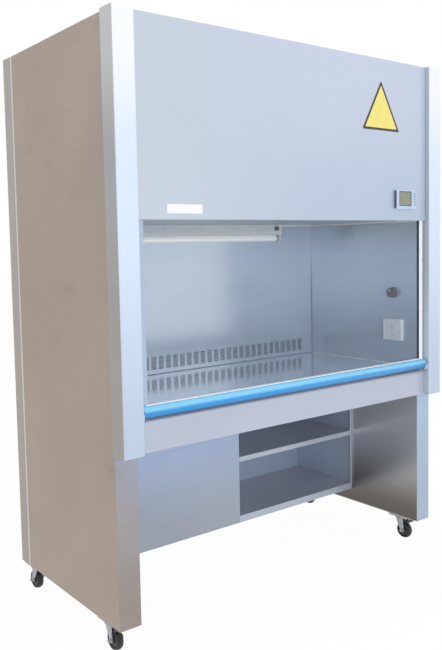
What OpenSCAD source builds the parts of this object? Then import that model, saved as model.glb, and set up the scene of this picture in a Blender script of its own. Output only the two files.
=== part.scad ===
// Biosafety cabinet on a castor stand.
// Origin: centre of the footprint on the floor. X runs across, Y from front to rear, Z up.

/* [Overall] */
// Width over the side panels and front posts
body_w = 1540; // [1400:10:1800]
// Depth from the face of the front posts to the rear sheet
body_d = 780; // [760:5:850]
// Height over the front posts
body_h = 1990; // [1960:5:2060]
// Thickness of the folded sheets
sheet = 1.5; // [1:0.25:2]

/* [Front posts] */
// Width of each post's face
post_w = 76; // [70:1:90]
// Depth of the flange that laps the side panel
post_lap = 67; // [64:1:80]
// Height of the posts' lower ends
post_foot = 660; // [640:5:680]
// Thickness of the posts' sheet
post_t = 2; // [1.5:0.5:2.5]
// Outer radius of the folds
fold_r = 4; // [3:0.5:6]

/* [Side panels and legs] */
// Width of each leg seen from the front
leg_w = 80; // [78:1:96]
// Distance of the legs' face behind the posts' face
leg_set = 57; // [56:1:60]
// Height of the legs' underside
leg_foot = 106; // [100:1:114]
// Drop from the top of the posts to the top of the side panels
side_drop = 8; // [8:1:12]
// Depth of the rear sheet's side returns
rear_wrap = 58; // [40:2:64]
// Shadow gap between side panel and rear return
rear_gap = 3; // [2:0.5:5]

/* [Work chamber] */
// Distance of the chamber's side walls inside the posts
chamber_in = 24; // [21:1:40]
// Distance of the chamber's rear wall behind the posts' face
chamber_back = 650; // [600:5:660]
// Height of the work surface
work_h = 774; // [765:1:790]
// Rise of the chamber's ceiling above the cover's lower edge
ceiling_rise = 2; // [2:1:20]
// Depth of the work tray's turned-down rim
tray_rim = 20; // [12:1:30]
// Depth of the intake grille in front of the work tray
intake_d = 56; // [40:2:80]
// Margin of the intake slots at each end
intake_margin = 30; // [20:5:60]
// Number of intake slots across
intake_n = 44; // [20:1:60]

/* [Return grille] */
// Number of slot columns across the rear wall
grille_cols = 34; // [20:1:34]
// Number of slots in each column
grille_rows = 7; // [4:1:8]
// Spacing of the columns
grille_pitch = 35.6; // [30:0.2:37]
// Length of one slot
slot_w = 24; // [16:1:27]
// Height of one slot
slot_h = 3.8; // [2.5:0.1:4.5]
// Spacing of the slots in a column
slot_pitch = 7.6; // [6:0.2:9]
// Height of the lowest slot above the work surface
grille_rise = 21; // [15:1:40]

/* [Front cover] */
// Distance of the cover's face behind the posts' face
cover_set = 20; // [18:1:21]
// Height of the cover, from the top of the posts
cover_h = 614; // [590:2:650]
// Depth of the cover's folded lower edge
cover_lip = 11; // [6:1:11]

/* [Sash] */
// Thickness of the laminated glass
glass_t = 6; // [5:0.5:6]
// Distance of the glass behind the posts' face
glass_set = 33; // [32.5:0.5:33.5]
// Overlap of the closed glass behind the cover
glass_over = 30; // [20:2:40]
// Width of the channels' white face
channel_w = 29; // [24:1:32]
// Distance of the channels' face behind the posts' face
channel_set = 26; // [25:0.5:27]
// Depth of the channels
channel_d = 18; // [17:0.5:18]
// Running clearance of the glass in its channels
glass_gap = 0.3; // [0.2:0.1:0.6]
// Height of the half-round handle bar
handle_h = 43; // [36:1:46]
// Height of the handle bar's underside, closed
handle_foot = 765; // [760:1:770]
// How far the handle bar stands out
handle_d = 16.5; // [14:0.5:17]
// Least gap left between the raised handle bar and the cover
sash_spare = 68; // [10:2:120]

/* [Counterweights] */
// Width of each weight
weight_w = 62; // [40:1:62]
// Thickness of each weight
weight_t = 24; // [14:1:24]
// Height left under the lowered weights inside the posts
weight_spare = 136; // [100:2:200]
// Diameter of the cable pulleys
pulley_d = 54; // [44:1:54]
// Drop from the top of the posts to the pulleys' axes
pulley_drop = 53; // [48:1:70]
// Thickness of the cable pulleys
pulley_t = 9; // [7:0.5:10]
// Diameter of the pulleys' pins
pulley_pin_d = 10; // [8:0.5:12]

/* [Apron] */
// Distance of the apron's face behind the posts' face
apron_set = 25; // [24:0.5:27]
// Radius of the apron's rolled upper edge
apron_r = 14; // [10:1:16]

/* [Storage unit] */
// Distance of the unit's face behind the posts' face
unit_set = 420; // [380:5:480]
// Height of the unit's underside
unit_foot = 162; // [140:2:200]
// Height of the floor's front lip
floor_lip = 28; // [20:1:36]
// Height of the shelf's upper face
shelf_h = 434; // [360:2:500]
// Height of the shelf's front lip
shelf_lip = 20; // [14:1:28]
// Place of the edge between closed front and open shelves
unit_split = 18; // [-200:2:200]
// Width of the frame strip at the unit's right edge
unit_strip = 12; // [8:1:20]

/* [Castors] */
// Diameter of the wheels
wheel_d = 70; // [64:1:74]
// Width of the wheels
wheel_w = 24; // [18:1:28]
// Diameter of the wheel axles
axle_d = 8; // [6:0.5:10]
// Offset of the axle in front of the swivel axis
trail = 16; // [14:1:22]
// Distance of the swivel axis from the outer side
castor_in = 40; // [36:1:46]
// Distance of the front swivel axes behind the posts' face
castor_front = 170; // [130:5:220]
// Distance of the rear swivel axes behind the posts' face
castor_rear = 725; // [600:5:725]
// Thickness of the mounting pads under the legs
pad_t = 12; // [6:0.5:13]
// Length of the mounting pads
pad_l = 92; // [84:1:104]
// Width of the mounting pads
pad_w = 60; // [52:1:66]

/* [Filters and blower] */
// Height of the filter frames
filter_h = 69; // [50:1:80]
// Width of the filter frames' rim
filter_rim = 20; // [12:1:30]
// Spacing of the filter pleats
pleat_pitch = 26; // [20:1:40]
// Drop from the top of the posts to the plenum case's top
plenum_drop = 100; // [92:2:120]
// Outer diameter of the impeller
fan_d = 280; // [240:5:320]
// Width of the impeller
fan_w = 104; // [90:2:120]
// Number of impeller blades
fan_blades = 9; // [7:1:13]
// Diameter of the impeller's hub
fan_hub_d = 92; // [80:2:110]
// Diameter of the impeller's eye
fan_eye_d = 170; // [150:2:180]
// Diameter of the motor
motor_d = 70; // [60:2:90]
// Setback of the impeller from the plenum's rear wall
fan_set = 34; // [30:1:50]

/* [Lamp] */
// Length of the lamp over its holders
lamp_l = 900; // [600:10:1200]
// Height of the lamp batten
lamp_h = 44; // [36:1:50]
// Depth of the lamp batten
lamp_d = 35; // [30:1:45]
// Diameter of the tube
tube_d = 26; // [16:1:26]
// Thickness of the tube holders
holder_t = 13; // [8:1:18]

/* [Wall fittings] */
// Width of the double socket plate
socket_w = 98; // [80:1:120]
// Height of the double socket plate
socket_h = 90; // [70:1:100]
// Height of the socket plate's centre
socket_z = 920; // [870:2:960]
// Distance of the wall fittings' centre behind the posts' face
fitting_y = 162; // [140:1:240]
// Height of the service cock's axis
cock_z = 1078; // [1040:2:1200]
// Diameter of the service cock's knob
knob_d = 40; // [32:1:50]

/* [Control unit] */
// Width of the control housing
ctrl_w = 119; // [100:1:130]
// Height of the control housing
ctrl_h = 77; // [70:1:100]
// How far the control housing stands out of the cover
ctrl_out = 12; // [9:0.5:16]
// Distance of the housing's centre from the cabinet's centre
ctrl_x = 560.5; // [400:0.5:600]
// Height of the housing's centre above the cover's lower edge
ctrl_rise = 83; // [54:1:224]
// Width of the screen
screen_w = 69; // [50:1:74]
// Height of the screen
screen_h = 52; // [40:1:60]
// Number of keys beside the screen
key_n = 5; // [5:1:5]
// Width of a key
key_w = 10; // [7:0.5:12]
// Height of a key
key_h = 6; // [5:0.5:7]
// Spacing of the keys
key_pitch = 10.6; // [9:0.2:12]
// Travel of a key
key_travel = 1; // [0.5:0.1:1.5]

/* [Hidden] */
hw = body_w / 2;
rear_y = body_d;                        // all depths below run from the posts' face
side_top = body_h - side_drop;
post_x = hw - post_w;                   // inner face of a post
leg_x = hw - leg_w;                     // inner face of a leg
side_out = hw - post_t;                 // outer face of a side panel, under the post's lap
side_back = rear_y - rear_wrap - rear_gap;
return_x = side_out - 30;               // inner edge of a side panel's rear return
post_inner = leg_set - 2;               // depth of a post's inner flange
edge_gap = 0.5;                         // fitting gap between neighbouring sheets
run_gap = 0.05;                         // radial clearance of turning fits
face_gap = 0.3;                         // clearance between turning faces

chamber_x = post_x - chamber_in;
chamber_w = 2 * chamber_x;
cover_foot = body_h - cover_h;
ceiling_h = cover_foot + ceiling_rise;
pulley_z = body_h - pulley_drop;
channel_x = post_x - edge_gap;          // outer side of a sash channel
channel_back = channel_set + channel_d;
apron_top = handle_foot - 2;
glass_in = 10;                          // glass edge inside a channel's web
glass_x = channel_x - glass_in;
glass_back = glass_set + glass_t;
glass_foot = handle_foot + 1;
glass_top = cover_foot + glass_over;
stop_gap = 2;
channel_top = pulley_z - pulley_d / 2 - stop_gap;
sash_travel = min(channel_top - glass_top - stop_gap, cover_foot - handle_foot - handle_h - sash_spare);
channel_foot = apron_top;
channel_t = 2;
channel_rib = 2;
channel_leg = 18;                       // width of a channel's back leg
handle_back = channel_set - 1.5;        // back of the handle bar, clear of the channels
handle_x = post_x - 6;
handle_r = (pow(handle_h / 2, 2) + pow(handle_d, 2)) / (2 * handle_d);
clamp_x = chamber_x - 14;
clamp_h = 26;

wall_front = channel_back;              // front edge of the chamber's side walls
ledge = 20;
tray_foot = work_h - tray_rim;
tray_front = wall_front + sheet + intake_d;
intake_slot = [5, 34];
intake_pitch = (chamber_w - 2 * intake_margin) / intake_n;
pan_front = leg_set + sheet + edge_gap;
pan_rim = 25;
grille_foot = work_h + grille_rise;

diffuser_slot = [44, 8];
diffuser_n = [22, 11];
diffuser_margin = [30, 25];
filter_foot = ceiling_h + sheet;
filter_y0 = wall_front + 12;
filter_y1 = chamber_back - 6;
filter_x = chamber_x - 4;
pleat_in = 6;                           // pleats inside the frame's faces
pleat_t = 5;
exhaust_w = 620;
exhaust_y0 = 230;
exhaust_y1 = 590;
exhaust_slot = [50, 8];
exhaust_n = [9, 17];
plenum_x = chamber_x + sheet;
plenum_back = chamber_back + sheet;

plenum_h = body_h - plenum_drop;
fan_h = (filter_foot + filter_h + plenum_h) / 2;
fan_y = plenum_back - fan_set;          // intake face of the impeller
fan_shaft_d = 12;
fan_plate = 3;
blade_t = 2.5;
fan_arm = 8;
eye_lip = 10;                           // how far the shroud's flare stands inside the eye
shroud_t = 2;
shroud_neck = 12;
shroud_h = 30;                          // height of the shroud at the impeller's rim
blade_sweep = 0.32 * fan_d;             // radius of the blades' arc
blade_lean = 59;                        // angle of the blades at the eye
arm_out = 22;                           // arms outside the impeller's rim
fan_hub_l = fan_w - 34;
motor_gap = 30;                         // mounting plate to impeller
plate_t = 4;
plate_w = 40;
plate_tab = 14;
bell_r = 14;                            // inner radius of the inlet ring's curve
ring_t = 2;
ring_dip = 8;                           // how far the inlet ring dips into the impeller
ring_flange = 22;

weight_x = side_out - 5 - weight_w / 2;
weight_back = leg_set - 0.4;
weight_top = channel_top - 12;
weight_l = weight_top - sash_travel - post_foot - weight_spare;
pulley_x = post_x + 9;
pin_end = 2;                            // pulley pin beyond its pulley
groove_share = 0.32;                    // radius of the pulley's groove over its thickness
lug = [10, 8];                          // diameter and height of a weight's lug
pulley_y = glass_set + glass_t / 2 + 3;
notch_spare = 6;                        // window in a post round its pulley
notch_foot = pulley_z - pulley_d / 2 - notch_spare;

castor_x = hw - castor_in;
castor_h = leg_foot - pad_t;            // underside of the mounting pads
race_t = 4;
race_d = 46;
fork_top = castor_h - race_t - face_gap;
fork_plate = 3;
fork_t = 3;
fork_gap = wheel_w + 4;
king_d = 10;
king_foot = fork_top - fork_plate - 3;
fork_plate_d = race_d + 8;
cheek_w = 38;
cheek_drop = 16;
cheek_set = 4;
boss_r = 9;
axle_end = 3;
axle_z = wheel_d / 2;
hub_r = 11;
hub_end = 1;                            // how far the hub stands out of the wheel's sides
web_in = 4;                             // depth of the recessed web
rim_in = 9;
tread_t = 4;
tread_r = 1.5;
crown_in = 9;
pedal_y = -15;                          // brake pin, measured from the swivel axis
pedal_z = fork_top - fork_plate - 9;
pedal_pin_d = 5;
pedal_reach = 34;
pedal_t = 4;
pedal_wing = 5;
pedal_pad = 12;

tube_z = ceiling_h - lamp_h - tube_d / 2 - 2;
tube_y = chamber_back - lamp_d / 2 - 3;
lamp_bevel = [9, 12];                   // slope of the batten's lower front edge
holder_w = 22;
tube_cap = 12;                          // length of the tube's end caps
socket_t = 10;
socket_r = 6;
pin_slot = [2.4, 9];
pin_cut = [pin_slot[0], pin_slot[1], 5];
pin_rise = 8;
pin_drop = 10;
pin_turn = 30;
flange_d = 46;
flange_t = 4;
stem_d = 14;
knob_top = 3;                           // solid top of the knob over the stem
flute_d = 8;
flute_foot = 5;
knob_t = 20;
knob_gap = 0.5;
ctrl_z = cover_foot + ctrl_rise;
ctrl_face = cover_set - ctrl_out;
ctrl_r = 4;
screen_in = 18;                         // housing edge to screen
screen_rise = 3;
screen_sink = 2.5;
screen_t = 1.5;
screen_x = ctrl_x - ctrl_w / 2 + screen_in + screen_w / 2;
screen_z = ctrl_z + screen_rise;
key_in = 4;                             // housing edge to keys
key_rise = 2;
key_x = ctrl_x + ctrl_w / 2 - key_in - key_w / 2;
key_proud = 1.2;
key_d = 6.4;
key_gap = 0.3;
key_spare = 0.4;                        // left behind a pressed key
gland_x = -560;
gland_y = 690;
gland_h = side_drop - 0.5;
gland_hex_d = 34;
gland_d = 24;

$fn = 48;

// ---- helpers ----

// Moves from depths behind the posts' face to the part's own frame.
module placed() {
    translate([0, -body_d / 2, 0]) children();
}

// Keeps the right-hand shape, or mirrors it to the left.
module sided(side) {
    if (side > 0) children();
    else mirror([1, 0, 0]) children();
}

// Block between two corners.
module block(a, b) {
    translate(a) cube(b - a);
}

// Block that is symmetrical across the cabinet.
module wide(half, y0, z0, y1, z1) {
    block([-half, y0, z0], [half, y1, z1]);
}

// Sheet in XY with rows of slots, from a centre and a count.
module slots(n, pitch, size, t) {
    for (i = [0 : n[0] - 1])
        for (j = [0 : n[1] - 1])
            translate([(i - (n[0] - 1) / 2) * pitch[0] - size[0] / 2,
                (j - (n[1] - 1) / 2) * pitch[1] - size[1] / 2, -1])
                cube([size[0], size[1], t + 2]);
}

// Quarter bend of a sheet, corner at the origin, legs along +X and +Y.
module bend(r, t) {
    translate([r, r]) intersection() {
        difference() {
            circle(r);
            circle(r - t);
        }
        translate([-r, -r]) square(r);
    }
}

// Rectangle with rounded corners, centred.
module rounded(w, h, r) {
    square([w - 2 * r, h], center = true);
    square([w, h - 2 * r], center = true);
    for (x = [-1, 1])
        for (y = [-1, 1])
            translate([x * (w / 2 - r), y * (h / 2 - r)]) circle(r);
}

// ---- casing ----

// Folded C of a right-hand post: outer lap, face and inner flange.
module post_outline() {
    translate([hw, 0]) mirror([1, 0, 0]) {
        bend(fold_r, post_t);
        translate([0, fold_r]) square([post_t, post_lap - fold_r]);
        translate([fold_r, 0]) square([post_w - 2 * fold_r, post_t]);
        translate([post_w, 0]) mirror([1, 0, 0]) bend(fold_r, post_t);
        translate([post_w - post_t, fold_r]) square([post_t, post_inner - fold_r]);
    }
}

module front_post(side) {
    color("gainsboro") placed() sided(side) difference() {
        union() {
            translate([0, 0, post_foot]) linear_extrude(body_h - post_foot) post_outline();
            for (z = [post_foot, body_h - post_t])
                block([post_x + post_t / 2, post_t / 2, z], [side_out, post_inner, z + post_t]);
        }
        // window for the cable pulley in the inner flange
        block([post_x - 1, pulley_y - pulley_t, notch_foot],
            [post_x + post_t + 1, post_inner + 1, notch_foot + pulley_d + 2 * notch_spare]);
    }
}

// Full-height folded side: outer face, leg face, rear return and foot plate.
module side_panel(side) {
    foot_t = 2 * sheet;
    color("rosybrown") placed() sided(side) {
        block([side_out - sheet, leg_set, leg_foot], [side_out, side_back, side_top]);
        block([leg_x, leg_set, leg_foot], [side_out, leg_set + sheet, side_top]);
        block([return_x, side_back - sheet, leg_foot], [side_out, side_back, side_top - sheet]);
        block([leg_x, leg_set, leg_foot], [side_out, side_back, leg_foot + foot_t]);
        // pin of the cable pulley
        translate([pulley_x, leg_set + sheet, pulley_z]) rotate([90, 0, 0])
            cylinder(d = pulley_pin_d, h = leg_set + sheet - pulley_y + pulley_t / 2 + pin_end);
    }
}

module leg_inner(side) {
    color("dimgray") placed() sided(side)
        block([leg_x, leg_set + sheet, leg_foot + 2 * sheet], [leg_x + sheet, rear_y - sheet, post_foot]);
}

// Rear sheet with wrapped sides, open between the legs.
module rear_panel() {
    color("silver") placed() {
        difference() {
            wide(hw, rear_y - sheet, leg_foot, rear_y, side_top);
            wide(leg_x, rear_y - sheet - 1, leg_foot - 1, rear_y + 1, unit_foot);
        }
        for (side = [-1, 1])
            sided(side) block([hw - sheet, rear_y - rear_wrap, leg_foot], [hw, rear_y, side_top]);
    }
}

module front_cover() {
    color("lightsteelblue") placed() {
        half = post_x - edge_gap;
        wide(half, cover_set, cover_foot, cover_set + sheet, body_h);
        wide(channel_x - channel_w - edge_gap, cover_set, cover_foot,
            cover_set + cover_lip, cover_foot + sheet);
        wide(half, cover_set, body_h - sheet, post_inner, body_h);
        for (side = [-1, 1])
            sided(side) block([half - sheet, cover_set, cover_foot], [half, channel_set - edge_gap, body_h]);
    }
}

// Top sheet with turned-down rim and the perforated exhaust outlet.
module top_panel() {
    color("silver") placed() {
        y0 = channel_back + sheet;
        half = side_out - sheet;
        rim = 16;
        pitch = [exhaust_w / exhaust_n[0], (exhaust_y1 - exhaust_y0) / exhaust_n[1]];
        difference() {
            wide(half, leg_set + sheet, side_top - sheet, rear_y - sheet, side_top);
            translate([0, (exhaust_y0 + exhaust_y1) / 2, side_top - sheet])
                slots(exhaust_n, pitch, exhaust_slot, sheet);
        }
        wide(leg_x, leg_set, side_top - rim, leg_set + sheet, body_h);
        wide(half, rear_y - 2 * sheet, side_top - rim, rear_y - sheet, side_top);
    }
}

module cable_gland() {
    color("dimgray") placed() translate([gland_x, gland_y, side_top]) {
        cylinder(d = gland_hex_d, h = gland_h / 2, $fn = 6);
        cylinder(d = gland_d, h = gland_h);
    }
}

// ---- lower housing ----

// Shallow pan, notched round the side panels' rear returns.
module base_pan() {
    half = side_out - sheet;
    back = rear_y - sheet;
    rim_top = post_foot + pan_rim;
    color("silver") placed() difference() {
        union() {
            wide(half, pan_front, post_foot, back, post_foot + sheet);
            wide(half, pan_front, post_foot, pan_front + sheet, rim_top);
            wide(half, back - sheet, post_foot, back, rim_top);
            for (side = [-1, 1])
                sided(side) block([half - sheet, pan_front, post_foot], [half, back, rim_top]);
        }
        for (side = [-1, 1])
            sided(side) block([return_x - edge_gap, side_back - sheet - edge_gap, post_foot - 1],
                [side_out, side_back + edge_gap, rim_top + 1]);
    }
}

// Apron profile in depth and height: lower return, face, rolled edge and sill.
module apron_outline() {
    square([leg_set - edge_gap - apron_set, sheet]);
    square([sheet, apron_top - post_foot - apron_r]);
    translate([0, apron_top - post_foot]) mirror([0, 1]) bend(apron_r, sheet);
    translate([apron_r, apron_top - post_foot - sheet])
        square([wall_front - apron_set - apron_r, sheet]);
}

module apron() {
    half = post_x - edge_gap;
    color("lightsteelblue") placed()
        translate([-half, apron_set, post_foot]) rotate([90, 0, 90]) linear_extrude(2 * half) apron_outline();
}

// ---- work chamber ----

module work_tray() {
    color("lightgray") placed() {
        half = chamber_x - edge_gap;
        back = chamber_back - edge_gap;
        wide(half, tray_front, work_h - sheet, back, work_h);
        wide(half, tray_front, tray_foot, tray_front + sheet, work_h);
        wide(half, back - sheet, tray_foot, back, work_h);
        for (side = [-1, 1])
            sided(side) block([half - sheet, tray_front, tray_foot], [half, back, work_h]);
    }
}

module intake_grille() {
    color("lightgray") placed() {
        half = chamber_x - edge_gap;
        front = wall_front + sheet + edge_gap;
        back = tray_front - edge_gap;
        difference() {
            wide(half, front, work_h - sheet, back, work_h);
            translate([0, (front + back) / 2, work_h - sheet])
                slots([intake_n, 1], [intake_pitch, intake_d], intake_slot, sheet);
        }
        wide(half, front, apron_top, front + sheet, work_h);
        wide(half, back - sheet, tray_foot, back, work_h);
    }
}

// Rear wall, punched with columns of return-air slots.
module chamber_back_wall() {
    color("lightslategray") placed() difference() {
        wide(chamber_x, chamber_back, tray_foot, chamber_back + sheet, ceiling_h);
        translate([0, chamber_back + sheet, grille_foot + (grille_rows - 1) / 2 * slot_pitch + slot_h / 2])
            rotate([90, 0, 0])
                slots([grille_cols, grille_rows], [grille_pitch, slot_pitch], [slot_w, slot_h], sheet);
    }
}

// Side wall that stands on the base pan, with its front flange and the ledge that carries the tray.
module chamber_wall(side) {
    foot = post_foot + sheet;
    back = chamber_back + sheet;
    over_rim = post_foot + pan_rim + edge_gap;
    color("slategray") placed() sided(side) {
        block([chamber_x, wall_front, over_rim], [chamber_x + sheet, back, ceiling_h]);
        block([chamber_x, pan_front + sheet + edge_gap, foot], [chamber_x + sheet, back, over_rim + sheet]);
        block([chamber_x, wall_front, over_rim], [channel_x, wall_front + sheet, ceiling_h]);
        block([chamber_x - ledge, wall_front + sheet, tray_foot - sheet],
            [chamber_x + sheet, back, tray_foot]);
    }
}

module diffuser() {
    color("whitesmoke") placed() difference() {
        wide(chamber_x + sheet, wall_front, ceiling_h, chamber_back + sheet, ceiling_h + sheet);
        translate([0, (wall_front + chamber_back) / 2, ceiling_h])
            slots(diffuser_n, [(chamber_w - 2 * diffuser_margin[0]) / diffuser_n[0],
                (chamber_back - wall_front - 2 * diffuser_margin[1]) / diffuser_n[1]],
                diffuser_slot, sheet);
    }
}

// ---- filters and blower ----

// Zigzag of pleats across a width, closed to an even thickness.
module pleats(width, height, pitch, t) {
    n = floor(width / pitch);
    p = width / n;
    top = [for (i = [0 : n]) each i < n ? [[i * p, t], [(i + 0.5) * p, height]] : [[i * p, t]]];
    low = [for (i = [n : -1 : 0]) each i > 0 ? [[i * p, 0], [(i - 0.5) * p, height - t]] : [[0, 0]]];
    polygon(concat(top, low));
}

module filter_unit(x0, x1, y0, y1, z) {
    difference() {
        block([x0, y0, z], [x1, y1, z + filter_h]);
        block([x0 + filter_rim, y0 + filter_rim, z - 1],
            [x1 - filter_rim, y1 - filter_rim, z + filter_h + 1]);
    }
    translate([x0 + filter_rim, y1 - filter_rim, z + pleat_in]) rotate([90, 0, 0])
        linear_extrude(y1 - y0 - 2 * filter_rim)
            pleats(x1 - x0 - 2 * filter_rim, filter_h - 2 * pleat_in, pleat_pitch, pleat_t);
}

module supply_filter() {
    color("white") placed() filter_unit(-filter_x, filter_x, filter_y0, filter_y1, filter_foot);
}

module exhaust_filter() {
    color("white") placed() filter_unit(-exhaust_w / 2 - filter_rim, exhaust_w / 2 + filter_rim,
        exhaust_y0 - filter_rim, exhaust_y1 + filter_rim, plenum_h);
}

// Welded pressure case over the supply filter, with blower inlet and exhaust opening.
module plenum_case() {
    color("silver") placed() difference() {
        wide(plenum_x, wall_front, filter_foot, plenum_back, plenum_h);
        wide(plenum_x - sheet, wall_front + sheet, filter_foot - 1, plenum_back - sheet, plenum_h - sheet);
        block([-exhaust_w / 2, exhaust_y0, plenum_h - 5], [exhaust_w / 2, exhaust_y1, plenum_h + 1]);
        translate([0, plenum_back + 1, fan_h]) rotate([90, 0, 0]) cylinder(d = fan_eye_d, h = 5);
    }
}

// Bell mouth between the plenum's rear wall and the impeller.
module inlet_ring() {
    back = plenum_back - sheet;
    depth = back - fan_y + ring_dip;
    mouth_r = fan_eye_d / 2;
    neck_r = mouth_r - bell_r;
    color("dimgray") placed() translate([0, back, fan_h]) rotate([90, 0, 0]) rotate_extrude() {
        translate([neck_r - ring_t, bell_r + ring_t]) square([ring_t, depth - bell_r - ring_t]);
        translate([mouth_r - bell_r - ring_t, 0]) bend(bell_r + ring_t, ring_t);
        translate([mouth_r, 0]) square([ring_flange, ring_t]);
    }
}

// Stator with its shaft, carried by a plate on four arms.
module fan_motor() {
    arm_r = fan_d / 2 + arm_out;
    back = plenum_back - sheet;
    plate_y = fan_y - fan_w - motor_gap;
    color("black") placed() translate([0, 0, fan_h]) {
        translate([0, plate_y, 0]) rotate([-90, 0, 0]) {
            cylinder(d = motor_d, h = motor_gap - 2 * plate_t);
            cylinder(d = fan_shaft_d, h = motor_gap + fan_hub_l);
        }
        for (a = [45, 135]) rotate([0, a, 0])
            block([-arm_r - plate_tab, plate_y, -plate_w / 2],
                [arm_r + plate_tab, plate_y + plate_t, plate_w / 2]);
        for (a = [45 : 90 : 315]) rotate([0, a, 0])
            translate([arm_r, plate_y + plate_t / 2, 0]) rotate([-90, 0, 0])
                cylinder(d = fan_arm, h = back - plate_y - plate_t / 2);
    }
}

// One backward-curved blade: an arc from the eye to the rim.
module blade_outline() {
    r_in = fan_eye_d / 2 - 2;
    r_out = fan_d / 2 - 1;
    intersection() {
        difference() {
            circle(r_out);
            circle(r_in);
        }
        translate([r_in - blade_sweep * cos(blade_lean), blade_sweep * sin(blade_lean)]) difference() {
            circle(blade_sweep + blade_t / 2);
            circle(blade_sweep - blade_t / 2);
        }
        translate([0, -fan_d / 2]) square(fan_d);
    }
}

module fan_impeller() {
    eye_r = fan_eye_d / 2;
    rim_r = fan_d / 2;
    t = shroud_t;
    color("gray") placed() translate([0, fan_y, fan_h]) rotate([90, 0, 0]) {
        // front shroud with its flared intake
        rotate_extrude() polygon([[eye_r - eye_lip, 0], [eye_r - eye_lip + t, 0], [eye_r, shroud_neck],
            [rim_r, shroud_h], [rim_r, shroud_h + t], [eye_r - t, shroud_neck + t + 0.5],
            [eye_r - eye_lip, t]]);
        for (i = [0 : fan_blades - 1]) rotate([0, 0, i * 360 / fan_blades])
            translate([0, 0, shroud_h - 1])
                linear_extrude(fan_w - shroud_h + 1 - fan_plate + 0.5) blade_outline();
        difference() {
            union() {
                translate([0, 0, fan_w - fan_plate]) cylinder(d = fan_d, h = fan_plate);
                translate([0, 0, fan_w - fan_hub_l]) cylinder(d = fan_hub_d, h = fan_hub_l - 1);
            }
            translate([0, 0, fan_w - fan_hub_l - 1])
                cylinder(d = fan_shaft_d + 2 * run_gap, h = fan_hub_l + 2);
        }
    }
}

// ---- sash ----

// Right-hand channel: white face, web, back leg and two guide ribs.
module channel_outline() {
    x1 = channel_x;
    x0 = x1 - channel_w;
    xb = x1 - channel_leg;
    translate([x0, channel_set]) square([channel_w, channel_t]);
    translate([x1 - channel_t, channel_set]) square([channel_t, channel_d]);
    translate([xb, channel_back - channel_t]) square([channel_leg, channel_t]);
    translate([xb, channel_set]) square([channel_rib, glass_set - glass_gap - channel_set]);
    translate([xb, glass_back + glass_gap]) square([channel_rib, channel_back - glass_back - glass_gap]);
}

module sash_channels() {
    color("white") placed() for (side = [-1, 1]) sided(side)
        translate([0, 0, channel_foot]) linear_extrude(channel_top - channel_foot) channel_outline();
}

// Dark wiper seals between the glass and the chamber's front flange.
module sash_seals() {
    color("darkslategray") placed() for (side = [-1, 1]) sided(side)
        block([chamber_x + edge_gap, glass_back + glass_gap, work_h],
            [channel_x - channel_leg - edge_gap, wall_front, ceiling_h]);
}

module sash_glass() {
    color("lightcyan", 0.35) placed() wide(glass_x, glass_set, glass_foot, glass_back, glass_top);
}

// Half-round bar with the clamp strip that holds the glass.
module sash_handle() {
    mid = handle_foot + handle_h / 2;
    color("deepskyblue") placed() {
        translate([-handle_x, handle_back, mid]) rotate([90, 0, 90]) linear_extrude(2 * handle_x)
            intersection() {
                translate([handle_r - handle_d, 0]) circle(handle_r, $fn = 72);
                translate([-handle_d, -handle_h / 2]) square([handle_d, handle_h]);
            }
        wide(clamp_x, handle_back - 1, mid - clamp_h / 2, glass_set, mid + clamp_h / 2);
    }
}

module counterweight(side) {
    color("dimgray") placed() sided(side) {
        block([weight_x - weight_w / 2, weight_back - weight_t, weight_top - weight_l],
            [weight_x + weight_w / 2, weight_back, weight_top]);
        translate([weight_x, weight_back - weight_t / 2, weight_top]) cylinder(d = lug[0], h = lug[1]);
    }
}

module pulley(side) {
    r = pulley_d / 2;
    w = pulley_t;
    color("gray") placed() sided(side)
        translate([pulley_x, pulley_y + w / 2, pulley_z]) rotate([90, 0, 0]) rotate_extrude()
            difference() {
                translate([pulley_pin_d / 2 + run_gap, 0]) square([r - pulley_pin_d / 2 - run_gap, w]);
                translate([r, w / 2]) circle(w * groove_share);
            }
}

// ---- fittings ----

// Slim batten with a holder at each end of the tube.
module lamp_batten() {
    half = lamp_l / 2;
    color("white") placed() {
        translate([-half, 0, 0]) rotate([90, 0, 90]) linear_extrude(lamp_l)
            polygon([[chamber_back - lamp_d, ceiling_h], [chamber_back, ceiling_h],
                [chamber_back, ceiling_h - lamp_h], [chamber_back - lamp_d + lamp_bevel[0], ceiling_h - lamp_h],
                [chamber_back - lamp_d, ceiling_h - lamp_h + lamp_bevel[1]]]);
        for (side = [-1, 1])
            sided(side) block([half - holder_t, tube_y - holder_w / 2, tube_z - tube_d / 2 + 2],
                [half, tube_y + holder_w / 2, ceiling_h - lamp_h + 2]);
    }
}

module lamp_tube() {
    half = lamp_l / 2 - holder_t - face_gap;
    color("white") placed() translate([-half, tube_y, tube_z]) rotate([0, 90, 0]) {
        translate([0, 0, tube_cap]) cylinder(d = tube_d, h = 2 * (half - tube_cap));
        cylinder(d = tube_d - 1, h = 2 * half);
    }
}

// Double socket plate with two sets of pin slots.
module socket_plate() {
    color("aliceblue") placed() translate([chamber_x - socket_t, fitting_y, socket_z]) rotate([0, 90, 0])
        rotate([0, 0, 90]) difference() {
            linear_extrude(socket_t) rounded(socket_w, socket_h, socket_r);
            for (x = [-socket_w / 4, socket_w / 4]) translate([x, 0, 0]) {
                translate([-pin_slot[0] / 2, pin_rise, -1]) cube(pin_cut);
                for (a = [-1, 1])
                    translate([a * pin_rise, -pin_drop, -1]) rotate([0, 0, a * pin_turn]) cube(pin_cut);
            }
        }
}

module cock_body() {
    color("dimgray") placed() translate([chamber_x, fitting_y, cock_z]) rotate([0, -90, 0]) {
        cylinder(d = flange_d, h = flange_t);
        cylinder(d = stem_d, h = flange_t + knob_gap + knob_t - knob_top);
    }
}

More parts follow.
